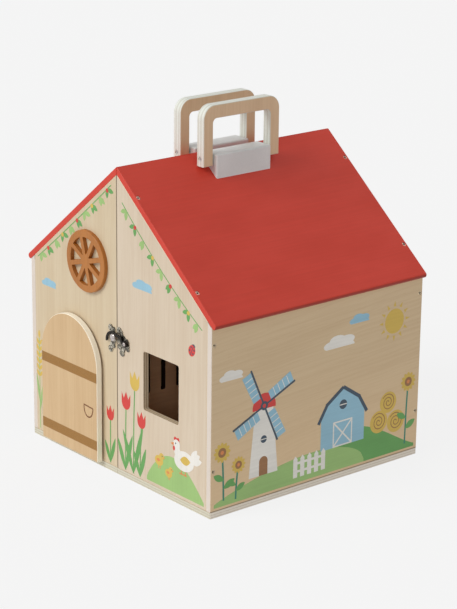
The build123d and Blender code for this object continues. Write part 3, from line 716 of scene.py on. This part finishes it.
def turned(points, angle, u=0.0, v=0.0):
    """Turns points about the origin by an angle in degrees, then moves them to (u, v)."""
    c, s = math.cos(math.radians(angle)), math.sin(math.radians(angle))
    return points @ np.array(((c, s), (-s, c))) + (u, v)


def ring(count=40, start=0.0, end=360.0, closed=True):
    """Evenly spaced angles in radians. In a closed ring the end is the start again, so
    it is left out."""
    return np.radians(np.linspace(start, end, count, endpoint=not closed))


def oval(u, v, a, b=None, turn=0.0):
    """An oval, a cos t across and b sin t up, then turned. With one radius it is a circle."""
    t = ring()
    return turned(np.stack((a * np.cos(t), (b or a) * np.sin(t)), axis=-1), turn, u, v)


def half_oval(u, v, a, b, count, start=0):
    """The upper half of an oval, or another half."""
    t = ring(count, start, start + 180, closed=False)
    return np.stack((u + a * np.cos(t), v + b * np.sin(t)), axis=-1)


def leaf(u, v, length, width, turn, count=14):
    """From its stalk a leaf reaches along the turn. Its half-width is w/2 sin(pi s)^0.8."""
    s = np.linspace(0, 1, count)
    half = width / 2 * np.sin(math.pi * s) ** 0.8
    upper = np.stack((length * s, half), axis=-1)
    lower = np.stack((length * s, -half), axis=-1)[-2:0:-1]
    return turned(np.concatenate((upper, lower)), turn, u, v)


print("a leaf outline has", len(leaf(0, 0, 10, 4, 0)), "points")

# %% Ribbons, petals, clouds, hills and boxes


def strip(points, width, count=24):
    """A ribbon along a smooth path: the path, plus and minus half its width along its
    own normal. The path is a Bernstein blend of the given points."""
    control = np.array(points, float)
    order = len(control) - 1
    s = np.linspace(0, 1, count)[:, None]
    weights = np.array([math.comb(order, k) for k in range(order + 1)])
    blend = weights * s ** np.arange(order + 1) * (1 - s) ** (order - np.arange(order + 1))
    path = blend @ control
    way = np.gradient(path, axis=0)
    normal = np.stack((-way[:, 1], way[:, 0]), axis=-1) / np.linalg.norm(way, axis=1, keepdims=True)
    wide = normal * width / 2
    return np.concatenate((path + wide, (path - wide)[::-1]))


def petals(u, v, radius, count, depth, points=96):
    """A flower of n petals: the radius is R (1 - d + d |cos(n t / 2)|)."""
    t = ring(points)
    r = radius * (1 - depth + depth * np.abs(np.cos(count * t / 2)))
    return np.stack((u + r * np.cos(t), v + r * np.sin(t)), axis=-1)


def cloud_shape(u, v, a, b):
    """A cloud: an oval with its radius times 0.8 + 0.2 |sin 2.5 t|, cut flat below."""
    t = ring(90)
    r = 0.8 + 0.2 * np.abs(np.sin(2.5 * t))
    return np.stack((u + a * r * np.cos(t), v + np.maximum(b * r * np.sin(t), -0.35 * b)), axis=-1)


def hill(u_from, u_to, v_foot, tall, peak, lift=3, count=48):
    """A flat foot and a top of height h sin(pi s)^0.8, whose peak is shifted by a power."""
    s = np.linspace(0, 1, count)
    shifted = s ** (math.log(0.5) / math.log(peak))
    top = v_foot + lift + tall * np.sin(math.pi * shifted) ** 0.8
    crest = np.stack((u_to + (u_from - u_to) * s, top), axis=-1)
    return np.concatenate((((u_from, v_foot), (u_to, v_foot)), crest))


def polygon(*points):
    """Straight lines from corner to corner."""
    return np.array(points, float)


def box(left, low, right, high):
    """An upright rectangle between its four sides."""
    return polygon((left, low), (right, low), (right, high), (left, high))


print("a ribbon outline has", len(strip([(0, 0), (10, 0)], 1)), "points")

# %% [markdown]
# ## Ink
# Screen-print ink is nearly matt and lets the grain show faintly, so it uses
# the paint group with its fine lines running the way that the wall's grain runs.

# %% Inks and walls
INKS = {"light_green": (160, 197, 120), "leaf_green": (104, 166, 88), "dark_green": (60, 134, 112),
        "light_blue": (152, 196, 216), "navy": (58, 76, 92), "mustard": (218, 184, 84),
        "brown": (156, 110, 68), "dark_brown": (128, 84, 44), "red": (216, 62, 56),
        "white": (240, 236, 228), "orange": (224, 138, 78)}
INK_UNEVENNESS, INK_ROUGHNESS = 0.14, 0.5
INK_RELIEF = 0.03 * MM
WALLS = {
    "right_wall": ((WALL_OUTSIDE, 0, 0), (0, 1, 0), (1, 0, 0), "right_half", "wall_ply"),
    "left_wall": ((-WALL_OUTSIDE, 0, 0), (0, -1, 0), (-1, 0, 0), "left_half", "wall_ply"),
    "right_gable": ((0, GABLE_FRONT, 0), (1, 0, 0), FRONT, "right_half", "gable_ply"),
    "left_gable": ((0, GABLE_FRONT, 0), (1, 0, 0), FRONT, "left_half", "gable_ply"),
    "door": ((0, DOOR_FRONT, 0), (1, 0, 0), FRONT, "door", "door_ply")}


def ink(colour, grain):
    """One ink over one direction of grain, made once."""
    name = f"ink_{colour}_{grain}"
    if name in bpy.data.materials:
        return bpy.data.materials[name]
    material, tree, place = start_material(name)
    point = reaches(tree, place, AXES[grain], AXES["Z" if grain == "Y" else "X"])
    film = fill_group(tree, PAINT, {"Vector": point, "Paint": screen(*INKS[colour]),
                                    "Unevenness": INK_UNEVENNESS})
    return finish_material(material, tree, film["Color"], INK_ROUGHNESS, film["Height"], INK_RELIEF)


print(len(INKS), "inks for", len(WALLS), "walls")

# %% Plates of ink
# Millimetres: how far a film stands out, how much each level adds, and how deep it starts
INK_FILM = 0.05
INK_STEP = 0.025
INK_ROOT = 0.04


def stacked(outlines):
    """A shape's level is one more than the highest earlier one whose box it overlaps."""
    low = np.array([outline.min(axis=0) for outline in outlines])
    high = np.array([outline.max(axis=0) for outline in outlines])
    levels = np.zeros(len(outlines))
    for index in range(1, len(outlines)):
        over = np.all((low[:index] < high[index]) & (high[:index] > low[index]), axis=1)
        levels[index] = np.max(np.where(over, levels[:index] + 1, 0))
    return levels


def print_on(name, wall, drawing):
    """Makes one piece of plates. A plate is its outline twice, at the wall and at its
    level's height, with sides between and a many-sided face at each end."""
    origin, sideways, outward, body, slot = WALLS[wall]
    inks = sorted({colour for colour, _ in drawing})
    points, faces, marks = [], [], []
    count = 0
    levels = stacked([outline for _, outline in drawing])
    for (colour, outline), level in zip(drawing, levels):
        shifted = np.roll(outline, -1, axis=0)
        area = np.sum(outline[:, 0] * shifted[:, 1] - shifted[:, 0] * outline[:, 1])
        outline = outline if area > 0 else outline[::-1]
        n = len(outline)
        low = np.column_stack((outline, np.full(n, -INK_ROOT)))
        high = np.column_stack((outline, np.full(n, INK_FILM + INK_STEP * level)))
        points += [low, high]
        index = np.arange(n)
        after = np.roll(index, -1)
        sides = np.stack((index, after, after + n, index + n), axis=-1) + count
        faces += sides.tolist() + [(index[::-1] + count).tolist(), (index + n + count).tolist()]
        marks += [inks.index(colour)] * (n + 2)
        count += 2 * n
    flat = np.concatenate(points) * MM
    frame_axes = np.array((sideways, (0, 0, 1), outward), float)
    mesh = bpy.data.meshes.new(name)
    mesh.from_pydata((flat @ frame_axes + origin).tolist(), [], faces)
    grain = "Y" if "wall" in wall else "Z"
    for colour in inks:
        mesh.materials.append(ink(colour, grain))
    mesh.polygons.foreach_set("material_index", marks)
    mesh.update()
    piece = bpy.data.objects.new(name, mesh)
    bpy.context.scene.collection.objects.link(piece)
    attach(piece, body)
    print(name, len(drawing), "shapes,", len(faces), "faces,", len(inks), "inks,", int(max(levels)), "levels")
    return piece


def shapes(colour, *outlines):
    """Outlines of one ink, in the order in which they are printed."""
    return [(colour, outline) for outline in outlines]


print("a film is", INK_FILM, "mm thick, and", INK_STEP, "mm more for each level")

# %% [markdown]
# ## Farm motifs
# Each motif is a short list of plain shapes. Keeping them as functions means a
# sunflower or a straw bale can be set anywhere on a wall at any height, as a
# maker would move paper cut-outs until the picture looks balanced. Places and
# sizes are in millimetres, and a share of a motif's own size has no unit.

# %% Flowers, wheat and a garland


def sunflower(u, v, tall, head, lean=0.0):
    """A bent stem, two leaves, a ring of petals and two circles of seeds."""
    top = (u + lean, v + tall)
    rows = shapes("dark_green", strip([(u, v), (u + lean * 0.2, v + tall * 0.6), top], 1.9))
    rows += shapes("leaf_green", leaf(u, v + tall * 0.25, head * 1.5, head * 0.7, 28),
                   leaf(u, v + tall * 0.42, head * 1.4, head * 0.65, 150))
    rows += shapes("mustard", petals(*top, head, 12, 0.26))
    rows += shapes("brown", oval(*top, head * 0.48))
    return rows + shapes("orange", oval(*top, head * 0.2))


def tulip(u, v, tall, head, colour, lean=0.0):
    """The cup is half an oval below and three points above."""
    top = (u + lean, v + tall)
    cup = half_oval(0, 0, head * 0.5, head * 0.6, 16, 180)
    tips = np.array(((0.5, 0.62), (0.25, 0.2), (0.0, 0.74), (-0.25, 0.2), (-0.5, 0.62))) * head
    rows = shapes("leaf_green", strip([(u, v), (u, v + tall * 0.5), top], 1.5),
                  leaf(u, v, tall * 0.62, head * 0.42, 74), leaf(u, v, tall * 0.5, head * 0.4, 112))
    return rows + shapes(colour, np.concatenate((cup, tips)) + (top[0], top[1] + head * 0.4))


def wheat(u, v, tall, lean=0.0, pairs=6, ear=0.58):
    """Grains stand in pairs up the ear, the last one at its tip."""
    rows = shapes("light_green", strip([(u, v), (u, v + tall * 0.6), (u + lean, v + tall)], 1.1))
    for step in range(pairs):
        s = ear + (1 - ear) * step / pairs
        place = (u + lean * s * s, v + tall * s)
        rows += shapes("mustard", leaf(*place, 7.5, 3.1, 52), leaf(*place, 7.5, 3.1, 128))
    rows += shapes("mustard", leaf(u + lean, v + tall, 8.5, 3.2, 90))
    return rows + shapes("light_green", leaf(u, v + tall * 0.2, tall * 0.34, 3.0, 79),
                         leaf(u, v + tall * 0.3, tall * 0.3, 2.8, 100))


def garland(start, end, sag, count, seed):
    """A string that sags as a parabola between two points, with leaves in pairs and a
    berry at each second knot."""
    start, end = np.array(start, float), np.array(end, float)
    middle = (start + end) / 2 - (0, 2 * sag)
    rows = shapes("leaf_green", strip([start, middle, end], 1.0, 40))
    slope = math.degrees(math.atan2(end[1] - start[1], end[0] - start[0]))
    for index in range(count):
        s = (index + 0.5) / count
        knot = (1 - s) ** 2 * start + 2 * s * (1 - s) * middle + s * s * end
        wave = 14 * math.sin(seed + 2.1 * index)
        rows += shapes("leaf_green" if index % 2 else "light_green",
                       leaf(*knot, 9.5, 4.6, slope - 62 + wave), leaf(*knot, 8.5, 4.2, slope - 118 - wave))
        if index % 2:
            rows += shapes(("red", "mustard")[index // 2 % 2], oval(*(knot - (0, 1.2)), 2.0))
    return rows


print("a sunflower has", len(sunflower(0, 0, 40, 8)), "shapes")

# %% Bales, fence, windmill, barn and sun


def bale(u, v, radius, turns=2.4, line=0.9):
    """A straw roll from its end: a disc, and a ribbon wound as r = R (0.12 + 0.74 s)."""
    s = np.linspace(0, 1, 60)
    angle = 2 * math.pi * turns * s
    r = radius * (0.12 + 0.74 * s)
    outer = np.stack((r * np.cos(angle), r * np.sin(angle)), axis=-1)
    inner = np.stack(((r - line) * np.cos(angle), (r - line) * np.sin(angle)), axis=-1)
    rows = shapes("mustard", oval(u, v, radius))
    return rows + shapes("brown", np.concatenate((outer, inner[::-1])) + (u, v))


def picket_fence(u, v, count, tall, pitch, rail=2.4):
    """Two rails, at shares of the height, behind pointed pickets."""
    rows = shapes("white", *[box(u, v + tall * k, u + pitch * (count - 0.4), v + tall * k + rail)
                             for k in (0.22, 0.6)])
    for index in range(count):
        left, right = u + pitch * index, u + pitch * (index + 0.6)
        rows += shapes("white", polygon((left, v), (right, v), (right, v + tall * 0.85),
                                        ((left + right) / 2, v + tall), (left, v + tall * 0.85)))
    return rows


def windmill(u, v, tall, reach, turn):
    """A tapered tower under a cap, and four latticed sails a quarter turn apart."""
    hub = (u, v + tall)
    foot, shoulder, cap, door, root, rim = 17, 10.5, 13.5, 5, 9, 1.2
    hatch = v + tall * 0.52
    rows = shapes("white", polygon((u - foot, v), (u + foot, v), (u + shoulder, v + tall - 2),
                                   (u - shoulder, v + tall - 2)))
    rows += shapes("red", np.concatenate((half_oval(u, v + tall - 1, cap, 13, 24),
                                          ((u - cap, v + tall - 3), (u + cap, v + tall - 3)))))
    rows += shapes("brown", np.concatenate((((u - door, v), (u + door, v)),
                                            half_oval(u, v + 13, door, door, 16))))
    rows += shapes("navy", oval(u, hatch, 3.6))
    rows += shapes("white", box(u - 3.4, hatch - 0.4, u + 3.4, hatch + 0.4))
    sail = polygon((root, rim), (reach, rim), (reach, 11.5), (root, 9.5))
    arm = box(0, -0.9, reach + 1.5, 0.9)
    for quarter in range(4):
        angle = turn + 90 * quarter
        rows += shapes("light_blue", turned(sail, angle, *hub))
        rows += shapes("navy", turned(arm, angle, *hub))
        for step in range(1, 5):
            x = root + (reach - root) * step / 5
            rows += shapes("white", turned(box(x, rim, x + 0.7, 10.2), angle, *hub))
    return rows + shapes("navy", oval(*hub, 4.2)) + shapes("red", oval(*hub, 1.9))


def barn(u, v, wide, tall):
    """A gambrel gable: walls, two roof slopes, a crossed door and a round loft hatch."""
    half = wide / 2
    eave, knee, hatch = v + tall * 0.52, v + tall * 0.78, v + tall * 0.72
    jamb, lintel, trim = 12, v + 25, 1.4
    rows = shapes("light_blue", polygon((u - half, v), (u + half, v), (u + half, eave),
                                        (u + half * 0.72, knee), (u, v + tall), (u - half * 0.72, knee),
                                        (u - half, eave)))
    for side in (-1, 1):
        lower = [(u + side * half * 1.12, eave - 2), (u + side * half * 0.72, knee + 1)]
        upper = [(u + side * half * 0.78, knee - 0.5), (u, v + tall + 1.2)]
        rows += shapes("navy", strip(lower, 3.4, 2), strip(upper, 3.4, 2))
    rows += shapes("white", box(u - jamb, v, u + jamb, lintel))
    rows += shapes("light_blue", box(u - jamb + trim, v + trim, u + jamb - trim, lintel - trim))
    for side in (1, -1):
        rows += shapes("white", strip([(u - 10.8, (v + lintel) / 2 - side * 11.1),
                                       (u + 10.8, (v + lintel) / 2 + side * 11.1)], 1.5, 2))
    rows += shapes("navy", oval(u, hatch, 4.6))
    return rows + shapes("white", strip([(u - 4.4, hatch), (u + 4.4, hatch)], 0.9, 2))


def sun(u, v, radius):
    """A disc, and twelve pointed rays 30 degrees apart."""
    rows = shapes("mustard", oval(u, v, radius))
    for index in range(12):
        ray = polygon((radius * 1.2, -radius * 0.13), (radius * 1.62, 0), (radius * 1.2, radius * 0.13))
        rows += shapes("mustard", turned(ray, 30 * index, u, v))
    return rows


print("a windmill has", len(windmill(0, 0, 66, 38, 24)), "shapes")

# %% Hen, chick and ladybird


def local(u, v, size, side):
    """Places the points of a motif that has its own size and looks to one side."""
    return lambda x, y: (u + side * x * size, v + y * size)


def hen(u, v, size, side):
    """A plain hen: round body, fanned tail, comb and wattle."""
    at = local(u, v, size, side)
    rows = []
    for foot in (-0.12, 0.2):
        rows += shapes("orange", strip([at(foot, 0.0), at(foot, -0.32)], size * 0.07, 2),
                       strip([at(foot - 0.12, -0.34), at(foot + 0.18, -0.34)], size * 0.07, 2))
    for angle in (122, 142, 162):
        turn = angle if side > 0 else 180 - angle
        rows += shapes("white", leaf(*at(-0.55, 0.55), size * 0.95, size * 0.42, turn))
    rows += shapes("white", oval(*at(0, 0.42), size * 0.82, size * 0.56, -8 * side))
    rows += shapes("white", strip([at(0.25, 0.4), at(0.62, 0.7), at(0.62, 1.1)], size * 0.52))
    rows += shapes("red", *[oval(*at(0.5 + 0.13 * k, 1.42 + 0.03 * (k != 1)), size * 0.1, size * 0.14)
                            for k in range(3)])
    rows += shapes("white", oval(*at(0.63, 1.18), size * 0.28))
    rows += shapes("red", oval(*at(0.84, 0.93), size * 0.09, size * 0.14))
    beak = polygon((0.86, 1.26), (1.12, 1.14), (0.86, 1.06))
    rows += shapes("orange", np.array([at(*p) for p in beak]))
    rows += shapes("navy", oval(*at(0.7, 1.24), size * 0.045))
    return rows + shapes("mustard", leaf(*at(0.32, 0.42), size * 0.85, size * 0.48, 172 if side > 0 else 8))


def chick(u, v, size, side):
    """Two legs, a body and a head that are both round, a beak, an eye and a wing."""
    at = local(u, v, size, side)
    rows = shapes("orange", strip([at(-0.1, -0.7), at(-0.1, -1.25)], size * 0.14, 2),
                  strip([at(0.3, -0.7), at(0.3, -1.25)], size * 0.14, 2))
    rows += shapes("mustard", oval(*at(0, 0), size, size * 0.82))
    rows += shapes("mustard", oval(*at(0.62, 0.78), size * 0.56))
    rows += shapes("orange", np.array([at(1.12, 0.9), at(1.5, 0.74), at(1.12, 0.62)]))
    rows += shapes("navy", oval(*at(0.78, 0.9), size * 0.1))
    return rows + shapes("orange", leaf(*at(0.3, 0.05), size * 0.9, size * 0.5, 176 if side > 0 else 4))


def ladybird(u, v, size, turn):
    """A head, then an oval back with a line along it and two spots on each side."""
    rows = shapes("navy", turned(oval(size * 0.86, 0, size * 0.42), turn, u, v))
    rows += shapes("red", turned(oval(0, 0, size, size * 0.82), turn, u, v))
    rows += shapes("navy", turned(strip([(-size, 0), (size * 0.9, 0)], size * 0.12, 2), turn, u, v))
    spots = ((0.4, 0.42), (-0.3, 0.48), (0.4, -0.42), (-0.3, -0.48))
    return rows + shapes("navy", *[turned(oval(size * x, size * y, size * 0.16), turn, u, v)
                                   for x, y in spots])


print("a hen has", len(hen(0, 0, 17, 1)), "shapes")

# %% [markdown]
# ## Laying out the pictures
# The right side wall, which the camera sees in full, gets the largest picture:
# a windmill, a barn and straw rolls on hills. The gables get a leafy garland
# under the roof, flowers by the door and a hen by the window. Soft greens, pale
# blue and mustard sit well on bare wood, and each wall keeps some of it empty.

# %% Pictures on the walls
right_wall_drawing = (
    shapes("leaf_green", hill(-4, 123, 9, 34, 0.62))
    + shapes("light_green", hill(-123, 58, 9, 22, 0.35))
    + windmill(-66, 27, 66, 38, 24)
    + barn(30, 32, 54, 56)
    + bale(76, 44, 11) + bale(98, 40, 11) + bale(87.5, 61, 10.5)
    + picket_fence(-30, 14, 5, 21, 8.5)
    + sunflower(-112, 14, 46, 9.5, -2) + sunflower(-98, 12, 32, 8, 3)
    + sunflower(111, 14, 62, 9.5, 2)
    + sun(92, 140, 12)
    + shapes("white", cloud_shape(24, 132, 20, 9), cloud_shape(-104, 128, 14, 7))
    + shapes("light_blue", cloud_shape(48, 150, 13, 6.5)))
print_on("right_wall_print", "right_wall", right_wall_drawing)

left_wall_drawing = (
    shapes("leaf_green", hill(-123, 20, 9, 30, 0.4))
    + shapes("light_green", hill(-30, 123, 9, 38, 0.6))
    + picket_fence(-116, 16, 8, 24, 9.5)
    + bale(20, 44, 12) + bale(45, 48, 11)
    + sunflower(92, 18, 60, 10, 3) + sunflower(108, 16, 44, 8.5, -2) + sunflower(76, 26, 34, 8, -1)
    + sun(-86, 138, 12)
    + shapes("white", cloud_shape(-30, 134, 20, 9), cloud_shape(66, 142, 15, 7)))
print_on("left_wall_print", "left_wall", left_wall_drawing)

right_gable_drawing = (
    garland((8, 262), (122, 172), 5, 9, 0.4)
    + shapes("light_green", hill(44, 126, 9, 30, 0.55))
    + hen(98, 36, 17, -1) + chick(62, 33, 6.0, 1) + chick(76, 25, 5.0, 1)
    + tulip(12, 8, 62, 13, "red", 1) + tulip(24, 8, 84, 14, "mustard", 2) + tulip(34, 8, 50, 12, "red", 2)
    + ladybird(108, 150, 5.5, 62)
    + shapes("light_blue", cloud_shape(38, 190, 15, 7)))
print_on("right_gable_print", "right_gable", right_gable_drawing)

left_gable_drawing = (
    garland((-124, 181.5), (-8, 274.5), 1, 10, 1.3)
    + wheat(-124.2, 8, 92, 0.3)
    + tulip(-11, 8, 44, 11, "red", 0)
    + shapes("light_blue", cloud_shape(-106, 158, 12, 6)))
print_on("left_gable_print", "left_gable", left_gable_drawing)

PULL_LINE = 1.4
door_drawing = shapes("dark_brown", strip([(-42.2, 58.4), (-27.6, 57.6)], PULL_LINE, 2),
                      strip([(-41.8, 58.6), (-42.6, 44), (-28, 44), (-27.9, 57.8)], PULL_LINE))
print_on("door_print", "door", door_drawing)
